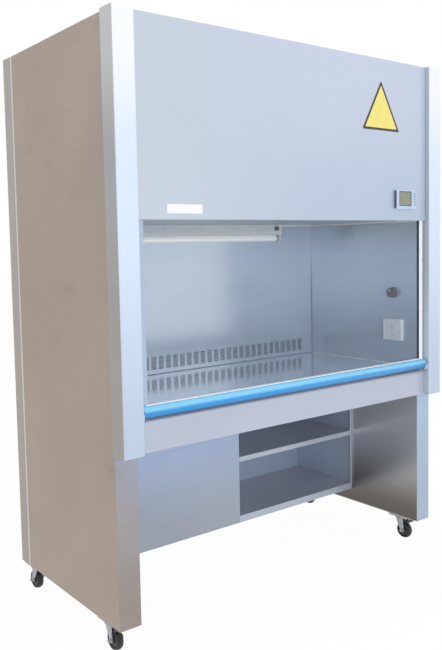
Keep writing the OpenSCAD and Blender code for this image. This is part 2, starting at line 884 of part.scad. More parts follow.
// Fluted knob that turns on the cock's stem.
module cock_knob() {
    flutes = 10;
    color("rebeccapurple") placed() translate([chamber_x - flange_t - knob_gap, fitting_y, cock_z])
        rotate([0, -90, 0]) difference() {
            cylinder(d = knob_d, h = knob_t);
            for (i = [0 : flutes - 1]) rotate([0, 0, i * 360 / flutes])
                translate([knob_d / 2 + 2, 0, flute_foot]) cylinder(d = flute_d, h = knob_t);
            translate([0, 0, -1])
                cylinder(d = stem_d + 2 * run_gap, h = knob_t - knob_top + 1 + face_gap);
        }
}

function key_z(i) = ctrl_z + key_rise + (2 - i) * key_pitch;

module control_housing() {
    color("aliceblue") placed() difference() {
        translate([ctrl_x, cover_set, ctrl_z]) rotate([90, 0, 0])
            linear_extrude(ctrl_out) rounded(ctrl_w, ctrl_h, ctrl_r);
        block([screen_x - screen_w / 2, ctrl_face - 1, screen_z - screen_h / 2],
            [screen_x + screen_w / 2, ctrl_face + screen_sink, screen_z + screen_h / 2]);
        for (i = [0 : key_n - 1])
            block([key_x - key_w / 2 - key_gap, ctrl_face - 1, key_z(i) - key_h / 2 - key_gap],
                [key_x + key_w / 2 + key_gap, ctrl_face + key_d + key_travel + key_spare,
                    key_z(i) + key_h / 2 + key_gap]);
    }
}

module control_screen() {
    color("darkkhaki") placed()
        block([screen_x - screen_w / 2, ctrl_face + screen_sink - screen_t, screen_z - screen_h / 2],
            [screen_x + screen_w / 2, ctrl_face + screen_sink, screen_z + screen_h / 2]);
}

module key(i) {
    color("steelblue") placed()
        block([key_x - key_w / 2, ctrl_face - key_proud, key_z(i) - key_h / 2],
            [key_x + key_w / 2, ctrl_face - key_proud + key_d, key_z(i) + key_h / 2]);
}

// ---- storage unit under the cabinet ----

unit_top = post_foot;
unit_x = leg_x - edge_gap;
unit_back = rear_y - sheet;
floor_h = unit_foot + floor_lip;
unit_return = 20;

module storage_front() {
    color("lightsteelblue") placed() {
        block([-unit_x, unit_set, unit_foot], [unit_split, unit_set + sheet, unit_top]);
        block([-unit_x, unit_set, unit_foot],
            [unit_split - sheet - edge_gap, unit_set + unit_return, unit_foot + sheet]);
    }
}

module storage_divider() {
    color("slategray") placed()
        block([unit_split - sheet, unit_set + sheet, unit_foot], [unit_split, unit_back, unit_top]);
}

module storage_side() {
    color("slategray") placed() {
        block([unit_x - sheet, unit_set + sheet, unit_foot], [unit_x, unit_back, unit_top]);
        block([unit_x - unit_strip, unit_set, unit_foot], [unit_x, unit_set + sheet, unit_top]);
    }
}

module storage_shelf() {
    x0 = unit_split;
    x1 = unit_x - sheet;
    color("slategray") placed() {
        block([x0, unit_set + sheet, shelf_h - sheet], [x1, unit_back, shelf_h]);
        block([x0, unit_set, shelf_h - shelf_lip], [unit_x - unit_strip, unit_set + sheet, shelf_h]);
    }
}

// Floor in two sheets, on either side of the divider, with a front lip on the open side.
module storage_floor() {
    color("slategray") placed() {
        block([-unit_x, unit_set + sheet, floor_h - sheet], [unit_split - sheet, unit_back, floor_h]);
        block([unit_split, unit_set + sheet, floor_h - sheet], [unit_x - sheet, unit_back, floor_h]);
        block([unit_split, unit_set, unit_foot], [unit_x - unit_strip, unit_set + sheet, floor_h]);
    }
}

// ---- castors ----

// Puts a castor's parts at a corner; side is -1 or 1, row is 0 in front and 1 behind.
// The rear castors rest swivelled to the rear.
module at_castor(side, row) {
    placed() translate([side * castor_x, row == 0 ? castor_front : castor_rear, 0])
        rotate([0, 0, row * 180]) children();
}

// Mounting pads with ball race and king pin.
module castor_plates() {
    color("gray") for (side = [-1, 1]) for (row = [0, 1]) at_castor(side, row) {
        translate([-pad_w / 2, -pad_l / 2, castor_h]) cube([pad_w, pad_l, pad_t]);
        translate([0, 0, castor_h - race_t]) cylinder(d = race_d, h = race_t);
        translate([0, 0, king_foot]) cylinder(d = king_d, h = castor_h - king_foot);
    }
}

// Cheek plate: a wide top that tapers to the axle boss.
module cheek_outline() {
    top = fork_top - fork_plate / 2;
    waist = top - cheek_drop;
    polygon([[-cheek_w / 2, top], [-cheek_w / 2, waist], [-trail - boss_r, axle_z],
        [-trail + boss_r, axle_z], [cheek_w / 2 - cheek_set, waist], [cheek_w / 2 - cheek_set, top]]);
    translate([-trail, axle_z]) circle(boss_r);
}

module fork(side, row) {
    braked = row == 0;
    color("silver") at_castor(side, row) {
        difference() {
            translate([0, 0, fork_top - fork_plate]) cylinder(d = fork_plate_d, h = fork_plate);
            translate([0, 0, fork_top - fork_plate - 1])
                cylinder(d = king_d + 2 * run_gap, h = fork_plate + 2);
        }
        for (x = [-fork_gap / 2 - fork_t, fork_gap / 2])
            translate([x, 0, 0]) rotate([90, 0, 90]) linear_extrude(fork_t) cheek_outline();
        translate([-fork_gap / 2 - fork_t - axle_end, -trail, axle_z]) rotate([0, 90, 0])
            cylinder(d = axle_d, h = fork_gap + 2 * (fork_t + axle_end));
        if (braked)
            translate([-fork_gap / 2 - fork_t, pedal_y, pedal_z]) rotate([0, 90, 0])
                cylinder(d = pedal_pin_d, h = fork_gap + 2 * fork_t);
    }
}

// Moulded wheel with a rounded tread, a recessed web and a bore.
module wheel(side, row) {
    r = wheel_d / 2;
    w = wheel_w / 2;
    bore = axle_d / 2 + run_gap;
    half = [[bore, w + hub_end], [hub_r, w + hub_end], [hub_r + 1, w - web_in], [r - rim_in - 2, w - web_in],
        [r - rim_in, w], [r - tread_t, w], [r - tread_r, w - web_in], [r, w - crown_in]];
    color("black") at_castor(side, row) translate([0, -trail, axle_z]) rotate([0, 90, 0])
        rotate_extrude($fn = 72)
            polygon(concat(half, [for (i = [len(half) - 1 : -1 : 0]) [half[i][0], -half[i][1]]]));
}

// Foot lever that turns on its pin between the fork's cheeks.
module brake_pedal(side) {
    neck = fork_gap - 2 * hub_end;
    color("dimgray") at_castor(side, 0) translate([0, pedal_y, pedal_z]) difference() {
        union() {
            translate([-neck / 2, 0, 0]) rotate([0, 90, 0]) cylinder(d = 2 * pedal_pin_d, h = neck);
            block([-neck / 2, -pedal_reach, -1], [neck / 2, 0, pedal_t - 1]);
            block([-neck / 2 - pedal_wing, -pedal_reach - 2, -2],
                [neck / 2 + pedal_wing, -pedal_reach + pedal_pad, pedal_t - 1]);
        }
        translate([-neck / 2 - 1, 0, 0]) rotate([0, 90, 0])
            cylinder(d = pedal_pin_d + 2 * run_gap, h = neck + 2);
    }
}

side_panel(-1);  // side_panel_left
side_panel(1);  // side_panel_right
rear_panel();
front_post(-1);  // front_post_left
front_post(1);  // front_post_right
front_cover();
top_panel();
leg_inner(-1);  // leg_inner_left
leg_inner(1);  // leg_inner_right
base_pan();
apron();
work_tray();
intake_grille();
chamber_back_wall();
chamber_wall(-1);  // chamber_wall_left
chamber_wall(1);  // chamber_wall_right
diffuser();
supply_filter();
exhaust_filter();
plenum_case();
inlet_ring();
fan_motor();
fan_impeller();
sash_channels();
sash_seals();
sash_glass();
sash_handle();
counterweight(-1);  // counterweight_left
counterweight(1);  // counterweight_right
pulley(-1);  // pulley_left
pulley(1);  // pulley_right
lamp_batten();
lamp_tube();
socket_plate();
cock_body();
cock_knob();
control_housing();
control_screen();
key(0);  // key_1
key(1);  // key_2
key(2);  // key_3
key(3);  // key_4
key(4);  // key_5
storage_front();
storage_divider();
storage_side();
storage_shelf();
storage_floor();
castor_plates();
fork(-1, 0);  // fork_front_left
fork(1, 0);  // fork_front_right
fork(-1, 1);  // fork_rear_left
fork(1, 1);  // fork_rear_right
wheel(-1, 0);  // wheel_front_left
wheel(1, 0);  // wheel_front_right
wheel(-1, 1);  // wheel_rear_left
wheel(1, 1);  // wheel_rear_right
brake_pedal(-1);  // brake_pedal_left
brake_pedal(1);  // brake_pedal_right
cable_gland();
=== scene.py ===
"""Looks of a biosafety cabinet on a castor stand.

Lengths are metres in the part's own frame: X across the front, Y to the rear, Z up from the floor.
"""
import math

import bmesh
import bpy
from mathutils import Euler, Matrix, Vector


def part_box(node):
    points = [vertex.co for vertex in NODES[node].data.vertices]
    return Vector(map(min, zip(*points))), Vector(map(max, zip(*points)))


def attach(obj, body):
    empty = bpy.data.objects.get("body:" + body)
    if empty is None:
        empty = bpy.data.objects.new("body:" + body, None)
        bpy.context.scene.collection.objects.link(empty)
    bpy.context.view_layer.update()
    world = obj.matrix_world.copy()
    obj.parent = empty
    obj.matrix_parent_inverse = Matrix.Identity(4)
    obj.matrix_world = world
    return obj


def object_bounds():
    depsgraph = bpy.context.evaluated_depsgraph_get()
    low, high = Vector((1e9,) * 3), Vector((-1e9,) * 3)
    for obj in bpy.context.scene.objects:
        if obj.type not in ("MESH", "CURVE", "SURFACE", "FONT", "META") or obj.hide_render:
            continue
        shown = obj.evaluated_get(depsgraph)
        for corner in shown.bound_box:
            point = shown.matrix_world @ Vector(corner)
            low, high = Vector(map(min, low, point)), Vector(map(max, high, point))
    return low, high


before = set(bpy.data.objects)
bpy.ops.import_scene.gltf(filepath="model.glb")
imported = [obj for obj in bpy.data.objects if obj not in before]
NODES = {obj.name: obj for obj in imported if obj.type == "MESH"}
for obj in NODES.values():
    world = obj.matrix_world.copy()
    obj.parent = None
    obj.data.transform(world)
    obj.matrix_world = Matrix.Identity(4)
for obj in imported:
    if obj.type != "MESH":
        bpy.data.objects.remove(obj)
CAD_LOW, CAD_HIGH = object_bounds()
SCENE = bpy.context.scene

# ---------------------------------------------------------------- camera

CAMERA_PLACE = (-1.917, -2.3242, 1.2979)
CAMERA_TURN = (85.741, 1.151, -37.575)     # degrees about X, Y and Z
LENS = 42.35                               # mm, on a 36 mm sensor along the picture's height
SHIFT = (0.0158, -0.0368)                  # share of the picture's height


def make_camera():
    data = bpy.data.cameras.new("camera")
    data.lens = LENS
    data.sensor_width = 36.0
    data.shift_x, data.shift_y = SHIFT
    data.clip_end = 100
    camera = bpy.data.objects.new("camera", data)
    camera.location = CAMERA_PLACE
    camera.rotation_euler = Euler([math.radians(a) for a in CAMERA_TURN], "XYZ")
    SCENE.collection.objects.link(camera)
    SCENE.camera = camera


make_camera()

# ---------------------------------------------------------------- node helpers


def rgb(red, green, blue):
    """A colour written as 0-255 display values, as Blender's linear one."""
    def linear(v):
        v /= 255
        return v / 12.92 if v <= 0.04045 else ((v + 0.055) / 1.055) ** 2.4
    return (linear(red), linear(green), linear(blue), 1.0)


def add(tree, kind, inputs=None, **settings):
    """A node of a kind, with its settings, and its inputs as values or as links."""
    made = tree.nodes.new(kind)
    for name, value in settings.items():
        setattr(made, name, value)
    for name, value in (inputs or {}).items():
        socket = made.inputs[name]
        if isinstance(value, bpy.types.NodeSocket):
            tree.links.new(value, socket)
        else:
            socket.default_value = value
    return made


def new_material(name):
    """An empty node material and its tree."""
    material = bpy.data.materials.new(name)
    material.use_nodes = True
    material.node_tree.nodes.clear()
    return material, material.node_tree


def close(tree, shader):
    """Makes a shader the material's surface."""
    add(tree, "ShaderNodeOutputMaterial", {"Surface": shader})


def place(tree):
    """A point's own place, in metres of the part's frame."""
    return add(tree, "ShaderNodeTexCoord").outputs["Object"]


def noise(tree, size, detail=3.0, stretch=(1, 1, 1), roughness=0.5):
    """Noise from 0 to 1 whose grain is about one size across, longer along the stretched axes."""
    scale = [1 / (size * s) for s in stretch]
    mapped = add(tree, "ShaderNodeMapping", {"Vector": place(tree), "Scale": scale})
    made = add(tree, "ShaderNodeTexNoise", {"Vector": mapped.outputs[0], "Scale": 1.0, "Detail": detail,
                                            "Roughness": roughness})
    return made.outputs[0]


def spread(tree, value, low, high, start=0.0, end=1.0, smooth=False):
    """A value from start..end taken to low..high."""
    made = add(tree, "ShaderNodeMapRange", {"Value": value, "From Min": start, "From Max": end,
                                            "To Min": low, "To Max": high})
    if smooth:
        made.interpolation_type = "SMOOTHSTEP"
    return made.outputs["Result"]


def mix(tree, factor, first, second, blend="MIX"):
    """Two colours mixed by a factor; each of the three is a value or a socket."""
    made = add(tree, "ShaderNodeMix", data_type="RGBA", blend_type=blend)
    for index, value in ((0, factor), (6, first), (7, second)):
        if isinstance(value, bpy.types.NodeSocket):
            tree.links.new(value, made.inputs[index])
        else:
            made.inputs[index].default_value = value
    return made.outputs[2]


def bump(tree, height, strength, distance):
    """A normal raised by a height, distance being its depth in metres."""
    made = add(tree, "ShaderNodeBump", {"Height": height, "Strength": strength, "Distance": distance})
    return made.outputs[0]


def axis_of(tree, axis):
    """One coordinate of a point's place."""
    parts = add(tree, "ShaderNodeSeparateXYZ", {"Vector": place(tree)})
    return parts.outputs["XYZ".index(axis)]


# ---------------------------------------------------------------- materials

GRAIN = 0.0009                             # thickness of one brushed line
LINE_STRETCH, BROAD_STRETCH = 400, 30      # length of the brushed lines and bands over their thickness
SMUDGE = (120, 104, 95)                    # display colour of handling smudges


def faded(tree, colour, fades):
    """A colour with fades (axis, start, end, colour at the end) laid over it in turn: painted light and shade
    along an axis.
    """
    for axis, start, end, other in fades:
        colour = mix(tree, spread(tree, axis_of(tree, axis), 0, 1, start, end, True), colour, other)
    return colour


def turned(tree, axis):
    """1 on faces turned to the axis's low side, 0 on the others."""
    normal = add(tree, "ShaderNodeNewGeometry").outputs["Normal"]
    parts = add(tree, "ShaderNodeSeparateXYZ", {"Vector": normal})
    return spread(tree, parts.outputs["XYZ".index(axis)], 1, 0, -0.9, -0.4)


def steel(name, colour, grain="X", rough=0.34, metallic=0.45, fades=(), cloud=0.04, streak=0.02, scuff=0.0,
          relief=0.04, line=0.035, uneven=0.045, front=None, left=None):
    """Brushed stainless sheet: lines along the grain, soft clouds and handling smudges.

    The colours given for the faces turned to the front and to the left, each with its own fades, where they
    differ, are painted light and shade: lit and shaded copies of the sheet's colour. The fades are painted
    light and shade too.
    """
    material, tree = new_material(name)
    along = "XYZ".index(grain)
    stretch = [1, 1, 1]
    stretch[along] = LINE_STRETCH
    lines = noise(tree, GRAIN, 3.0, stretch)
    stretch[along] = BROAD_STRETCH
    broad = noise(tree, GRAIN * 16, 3.0, stretch)
    clouds = noise(tree, 0.35, 2.0)
    base = faded(tree, colour, fades)
    # faces turned to the front or the left take a lit or shaded colour of their own: painted light and shade
    for axis, other in (("Y", front), ("X", left)):
        if other:
            base = mix(tree, turned(tree, axis), base, faded(tree, *other))
    for pattern, depth in ((clouds, cloud), (broad, streak), (lines, line)):
        base = mix(tree, 1.0, base, spread(tree, pattern, 1 - depth, 1 + depth, 0.3, 0.7), "MULTIPLY")
    if scuff:
        smudge = spread(tree, noise(tree, 0.06, 5.0, (2.2, 2.2, 1), 0.6), 0, scuff, 0.55, 0.8, True)
        base = mix(tree, smudge, base, rgb(*SMUDGE))
    roughness = spread(tree, broad, rough - uneven, rough + uneven, 0.25, 0.75) if uneven else rough
    inputs = {"Base Color": base, "Metallic": metallic, "Roughness": roughness}
    if relief:
        inputs["Normal"] = bump(tree, lines, relief, 0.0003)
    close(tree, add(tree, "ShaderNodeBsdfPrincipled", inputs).outputs[0])
    return material


def painted(name, colour, rough=0.35, orange_peel=0.05, metallic=0.0, coat=0.0, wear=0.04, uneven=0.065,
            fades=(), glow=0.0):
    """Coated or moulded surface: faint orange peel, handling marks and uneven gloss, with fades of painted
    light and shade laid over its colour.

    glow is the strength of a lamp's faint light of its own.
    """
    material, tree = new_material(name)
    peel = noise(tree, 0.0025, 2.0)
    marks = noise(tree, 0.03, 4.0)
    base = faded(tree, colour, fades)
    base = mix(tree, 1.0, base, spread(tree, marks, 1 - wear, 1 + wear, 0.3, 0.7), "MULTIPLY")
    shader = add(tree, "ShaderNodeBsdfPrincipled", {
        "Base Color": base, "Metallic": metallic, "Coat Weight": coat, "Emission Strength": glow,
        "Roughness": spread(tree, marks, rough - uneven, rough + uneven, 0.3, 0.7),
        "Normal": bump(tree, peel, orange_peel, 0.0006)})
    close(tree, shader.outputs[0])
    if glow:
        material.cycles.emission_sampling = "NONE"    # seen, but not sampled as a lamp
    return material


def moulded(name, colour, rough=0.5, grain=0.0012, strength=0.25, dust=0.0):
    """Rubber or textured plastic, with dust in its grain."""
    material, tree = new_material(name)
    cells = add(tree, "ShaderNodeTexVoronoi", {"Vector": place(tree), "Scale": 1 / grain}).outputs[0]
    patches = noise(tree, 0.012, 5.0)
    base = mix(tree, spread(tree, patches, 0, dust, 0.45, 0.75), colour, rgb(120, 118, 114))
    shader = add(tree, "ShaderNodeBsdfPrincipled", {
        "Base Color": base, "Roughness": spread(tree, patches, rough - 0.06, rough + 0.1, 0.3, 0.7),
        "Normal": bump(tree, cells, strength, 0.0003)})
    close(tree, shader.outputs[0])
    return material


def sash_glass(name):
    """Clear laminated pane, faintly blue, with wipe marks, mirroring at its outer faces."""
    material, tree = new_material(name)
    wipes = spread(tree, noise(tree, 0.02, 4.0, (6, 1, 1)), 0, 1, 0.4, 0.7)
    tint = mix(tree, wipes, (0.972, 0.984, 0.988, 1), (0.960, 0.972, 0.977, 1))
    clear = add(tree, "ShaderNodeBsdfTransparent", {"Color": tint})
    mirror = add(tree, "ShaderNodeBsdfGlossy", {"Color": (1, 1, 1, 1), "Roughness": 0.0})
    backs = add(tree, "ShaderNodeNewGeometry").outputs["Backfacing"]
    outer = add(tree, "ShaderNodeMath", {0: 1.0, 1: backs}, operation="SUBTRACT")
    fresnel = add(tree, "ShaderNodeFresnel", {"IOR": 1.5})
    share = add(tree, "ShaderNodeMath", {0: fresnel.outputs[0], 1: outer.outputs[0]}, operation="MULTIPLY")
    pane = add(tree, "ShaderNodeMixShader", {0: share.outputs[0], 1: clear.outputs[0], 2: mirror.outputs[0]})
    close(tree, pane.outputs[0])
    return material


def pleated(name, colour):
    """Filter fibre: fine felt with soft soiling."""
    material, tree = new_material(name)
    felt = noise(tree, 0.0012, 6.0)
    soil = noise(tree, 0.08, 3.0)
    base = mix(tree, spread(tree, soil, 0, 0.25, 0.4, 0.8), colour, rgb(190, 186, 176))
    shader = add(tree, "ShaderNodeBsdfPrincipled", {"Base Color": base, "Sheen Weight": 0.2,
                                                    "Roughness": spread(tree, felt, 0.85, 0.98),
                                                    "Normal": bump(tree, felt, 0.5, 0.0006)})
    close(tree, shader.outputs[0])
    return material


def cast(name, colour):
    """Rough cast metal."""
    material, tree = new_material(name)
    skin = noise(tree, 0.004, 6.0, roughness=0.7)
    base = mix(tree, spread(tree, skin, 0, 0.5, 0.4, 0.8), colour, rgb(96, 92, 88))
    shader = add(tree, "ShaderNodeBsdfPrincipled", {"Base Color": base, "Metallic": 0.6,
                                                    "Roughness": spread(tree, skin, 0.55, 0.8),
                                                    "Normal": bump(tree, skin, 0.4, 0.001)})
    close(tree, shader.outputs[0])
    return material


HIGH = CAD_HIGH.z
CHANNEL_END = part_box("sash_channels")[1].x
BAR_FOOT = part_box("sash_handle")[0].z
WALL_LEFT, WALL_RIGHT = (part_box("chamber_back_wall")[i].x for i in (0, 1))
# side sheets slightly darker lower down: painted shade
SIDE_SHADE_FADES = [("Z", 1.9, 1.0, rgb(180, 163, 149)), ("Z", 1.0, 0.1, rgb(182, 166, 152))]
# posts lighter towards the top: painted light
POST_LIGHT_FADES = [("Z", 0.7, 1.45, rgb(222, 236, 253)), ("Z", 1.45, HIGH, rgb(252, 254, 255))]
MATERIALS = {                              # fades are (axis, start, end, colour at the end), in metres: painted light and shade
    # front faces darker, warmer low down and bluer higher up, over fades by height: painted light, shade and
    # reflection
    "side": steel("side_steel", rgb(184, 169, 156), "Y", 0.42, 0.35, cloud=0.05, streak=0.025, scuff=0.16,
                  fades=SIDE_SHADE_FADES, front=(rgb(161, 150, 144), [("Z", 0.15, 0.4, rgb(165, 159, 160)),
                                                                ("Z", 0.4, 0.7, rgb(168, 172, 188))])),
    # the side sheet again, its front faces pale blue and paler higher up: painted light and reflection
    "side_right": steel("side_steel_right", rgb(184, 169, 156), "Y", 0.42, 0.35, cloud=0.05, streak=0.025,
                        fades=SIDE_SHADE_FADES, front=(rgb(172, 190, 212), [("Z", 0.2, 0.7, rgb(180, 198, 226))])),
    # darker and warmer towards the floor, its front faces pale blue: painted shade and light
    "rear": steel("rear_steel", rgb(184, 178, 173), "Z", 0.4, 0.35,
                  fades=[("Z", 1.9, 0.1, rgb(180, 168, 160))], front=(rgb(182, 198, 220), ())),
    # lighter towards the top; faces turned left darker, lighter higher up: painted light and shade
    "post": steel("post_steel", rgb(196, 210, 229), "Z", 0.36, 0.3, streak=0.01, cloud=0.012,
                  fades=POST_LIGHT_FADES,
                  left=(rgb(176, 170, 166), [("Z", 1.0, 1.5, rgb(182, 183, 186)),
                                             ("Z", 1.55, 1.9, rgb(214, 214, 214))])),
    # the post's colours again, its faces turned left pale and bluish: painted light
    "post_right": steel("post_steel_right", rgb(196, 210, 229), "Z", 0.36, 0.3, streak=0.01, cloud=0.012,
                        fades=POST_LIGHT_FADES,
                        left=(rgb(206, 217, 226), [("Z", 0.9, 1.2, rgb(192, 199, 204)),
                                                   ("Z", 1.4, 1.8, rgb(196, 205, 214))])),
    # lighter towards the top and towards the left: painted light
    "cover": steel("cover_steel", rgb(190, 203, 220), "X", 0.4, 0.3, streak=0.006, cloud=0.012, line=0.02,
                   fades=[("Z", 1.38, 1.9, rgb(205, 213, 230)), ("X", 0.2, -0.7, rgb(202, 210, 222))]),
    "apron": steel("apron_steel", rgb(190, 197, 213), "X", 0.38, 0.35, streak=0.012, cloud=0.02),
    # lighter and bluer higher up: painted light
    "closed": steel("closed_steel", rgb(170, 177, 190), "X", 0.38, 0.35, streak=0.02, cloud=0.03,
                    fades=[("Z", 0.2, 0.62, rgb(174, 194, 226))]),
    # darker and warmer towards the floor: painted shade
    "leg_inner": steel("leg_inner_steel", rgb(228, 228, 228), "Y", 0.27, 0.6, streak=0.02, cloud=0.04,
                       relief=0, line=0.015, uneven=0, fades=[("Z", 0.5, 0.12, rgb(106, 100, 96))]),
    "chamber": steel("chamber_steel", rgb(206, 217, 232), "X", 0.22, 0.6, streak=0.015, cloud=0.025,
                     relief=0, line=0.01, uneven=0),
    # a lighter band at mid height, darker towards the ceiling: painted light and shade
    "chamber_side": steel("chamber_side_steel", rgb(190, 204, 218), "Y", 0.24, 0.5, streak=0.02, cloud=0.04,
                          relief=0, line=0.01, uneven=0,
                          fades=[("Z", 0.9, 1.15, rgb(216, 230, 246)), ("Z", 1.2, 1.4, rgb(188, 202, 214))]),
    "flange": steel("flange_steel", rgb(132, 142, 156), "Y", 0.4, 0.3, relief=0),
    "tray": steel("tray_steel", rgb(238, 246, 254), "X", 0.12, 0.75, streak=0.015, cloud=0.02, relief=0,
                  line=0.01, uneven=0),
    "ceiling": steel("ceiling_steel", rgb(186, 190, 200), "X", 0.3, 0.35),
    # faces turned to the front given a colour of their own: painted light and shade
    "shelf": steel("shelf_steel", rgb(196, 198, 206), "X", 0.34, 0.3, streak=0.02, cloud=0.03,
                   front=(rgb(190, 198, 212), ())),
    "shelf_wall": steel("shelf_wall_steel", rgb(200, 210, 226), "Z", 0.34, 0.3, streak=0.02, cloud=0.03,
                        front=(rgb(182, 190, 204), ())),
    "galvanised": painted("galvanised", rgb(165, 170, 174), 0.42, 0.2, 0.6, wear=0.1),
    "white": painted("white_coat", rgb(250, 251, 253), 0.3, wear=0.01),
    "cream": painted("cream_coat", rgb(250, 242, 230), 0.35, wear=0.02),
    # darker over the left channel and along the right channel's outer edge: painted shade
    "channel": painted("channel_coat", rgb(250, 251, 253), 0.3, wear=0.01,
                       fades=[("X", 0.3, -0.3, rgb(178, 193, 212)),
                              ("X", CHANNEL_END - 0.012, CHANNEL_END - 0.008, rgb(160, 170, 184))]),
    # darker lower down: painted shade, which also makes the back foot bead a painted shadow line
    "bead": painted("corner_bead", rgb(206, 214, 218), 0.5, fades=[("Z", 1.3, 1.05, rgb(124, 136, 150))]),
    "joint": painted("moulding_joint", rgb(196, 202, 212), 0.5),
    "batten": painted("batten_coat", rgb(226, 228, 231), 0.35),
    "tube": painted("tube_opal", rgb(255, 253, 249), 0.5, 0.0, metallic=0.3, wear=0.01, uneven=0.02,
                    glow=0.2),
    # top of the bar lighter and its underside darker: painted highlight and painted shade
    "blue": painted("blue_anodised", rgb(58, 156, 226), 0.26, 0.0, 0.2, wear=0.03, uneven=0.01,
                    fades=[("Z", BAR_FOOT + 0.020, BAR_FOOT + 0.032, rgb(142, 216, 252)),
                           ("Z", BAR_FOOT + 0.014, BAR_FOOT + 0.002, rgb(34, 92, 134))]),
    # dark sash seal, partly a rubber seal and partly painted shade of the gap beside the glass
    "seal_shade": moulded("seal_rubber", rgb(92, 98, 104), 0.6),
    "socket": painted("socket_moulding", rgb(248, 250, 255), 0.28, 0.03),
    "bezel": painted("bezel_moulding", rgb(196, 214, 236), 0.3, 0.04),
    "screen": painted("screen_glass", rgb(138, 142, 118), 0.15, 0.0, coat=0.8, wear=0.06),
    "key": moulded("key_moulding", rgb(150, 178, 212), 0.4, 0.0008, 0.15),
    "knob": moulded("knob_moulding", rgb(104, 84, 104), 0.42, 0.001, 0.2, 0.15),
    "dark": painted("dark_coat", rgb(76, 78, 86), 0.4, 0.1, 0.3),
    # dark strip on the control unit's side: painted shade
    "housing_shade": moulded("housing_shade_moulding", rgb(92, 96, 122), 0.5, 0.0008, 0.1),
    "zinc": painted("zinc_plate", rgb(178, 180, 184), 0.3, 0.15, 0.5, wear=0.12),
    "hub": moulded("wheel_hub", rgb(64, 62, 64), 0.45, 0.002, 0.2, 0.2),
    "rubber": moulded("wheel_rubber", rgb(36, 37, 40), 0.55, 0.0015, 0.3, 0.25),
    "tread": moulded("tread_rubber", rgb(98, 100, 105), 0.6, 0.0015, 0.3, 0.5),
    "yellow": painted("yellow_plate", rgb(250, 234, 132), 0.35, 0.02),
    "border": painted("border_plate", rgb(64, 62, 66), 0.35, 0.02),
    "glass": sash_glass("sash_glass"),
    "filter": pleated("filter_fibre", rgb(236, 236, 230)),
    "cast": cast("cast_weight", rgb(70, 70, 72)),
    "nylon": moulded("nylon", rgb(224, 222, 214), 0.45, 0.001, 0.1),
    "black": painted("motor_coat", rgb(38, 40, 42), 0.4, 0.2),
    "impeller": painted("impeller_sheet", rgb(150, 154, 160), 0.38, 0.1, 0.7, wear=0.08),
}

NODE_FINISH = {
    "side_panel_left": "side", "side_panel_right": "side_right", "rear_panel": "rear",
    "top_panel": "rear", "front_cover": "cover", "front_post_left": "post",
    "front_post_right": "post_right", "leg_inner_left": "leg_inner", "leg_inner_right": "leg_inner",
    "base_pan": "galvanised", "apron": "apron", "work_tray": "tray", "intake_grille": "tray",
    "chamber_back_wall": "chamber", "chamber_wall_left": "chamber_side",
    "chamber_wall_right": "chamber_side", "diffuser": "ceiling", "supply_filter": "filter",
    "exhaust_filter": "filter", "plenum_case": "galvanised", "inlet_ring": "galvanised",
    "fan_motor": "black", "fan_impeller": "impeller", "sash_channels": "channel",
    "sash_seals": "seal_shade", "sash_glass": "glass", "sash_handle": "blue",
    "counterweight_left": "cast", "counterweight_right": "cast", "pulley_left": "nylon",
    "pulley_right": "nylon", "lamp_batten": "batten", "lamp_tube": "tube",
    "socket_plate": "socket", "cock_body": "flange", "cock_knob": "knob",
    "control_housing": "bezel", "control_screen": "screen", "storage_front": "closed",
    "storage_divider": "shelf_wall", "storage_side": "shelf_wall", "storage_shelf": "shelf",
    "storage_floor": "shelf", "castor_plates": "zinc", "cable_gland": "dark",
    "brake_pedal_left": "dark", "brake_pedal_right": "dark"}
NODE_FINISH.update({f"key_{i}": "key" for i in range(1, 6)})
CORNERS = [f"{row}_{hand}" for row in ("front", "rear") for hand in ("left", "right")]
NODE_FINISH.update({f"fork_{c}": "zinc" for c in CORNERS})
NODE_FINISH.update({f"wheel_{c}": "rubber" for c in CORNERS})
EDGE = 0.0006                              # rounding of the sheets' and mouldings' edges
SHARP = math.radians(35)                   # edges sharper than this are rounded or split


def round_edges(thing, width, segments=2):
    """Rounds the sharp edges of a thing."""
    rounding = thing.modifiers.new("edges", "BEVEL")
    rounding.width = width
    rounding.segments = segments
    rounding.limit_method = "ANGLE"
    rounding.angle_limit = SHARP
    rounding.harden_normals = True


def dress(name, finish):
    """A CAD node's material, and a fine rounding of its edges."""
    node = NODES[name]
    node.data.materials.clear()
    node.data.materials.append(MATERIALS[finish])
    weld = node.modifiers.new("weld", "WELD")
    weld.merge_threshold = 0.00001
    round_edges(node, EDGE)


for node_name, finish_name in NODE_FINISH.items():
    dress(node_name, finish_name)

# ---------------------------------------------------------------- extra pieces


def piece(name, form, finish, body="cabinet", edge=0.0, segments=2):
    """A new piece from a bmesh form: its mesh, finish, rounded edges and body."""
    mesh = bpy.data.meshes.new(name)
    bmesh.ops.recalc_face_normals(form, faces=form.faces)
    form.to_mesh(mesh)
    form.free()
    thing = bpy.data.objects.new(name, mesh)
    SCENE.collection.objects.link(thing)
    mesh.materials.append(MATERIALS[finish])
    for face in mesh.polygons:
        face.use_smooth = True
    if edge:
        round_edges(thing, edge, segments)
    else:
        split = thing.modifiers.new("corners", "EDGE_SPLIT")
        split.split_angle = SHARP
    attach(thing, body)
    return thing


def block(form, low, high):
    """Adds a box between two corners."""
    size = [high[i] - low[i] for i in range(3)]
    middle = [(high[i] + low[i]) / 2 for i in range(3)]
    bmesh.ops.create_cube(form, size=1.0,
                          matrix=Matrix.Translation(middle) @ Matrix.Diagonal((*size, 1.0)))


def slab(form, x, thickness, low, high):
    """Adds a plate on the face at x, to either side by its sign, between two (y, z) corners."""
    near, far = sorted((x, x + thickness))
    block(form, (near, *low), (far, *high))


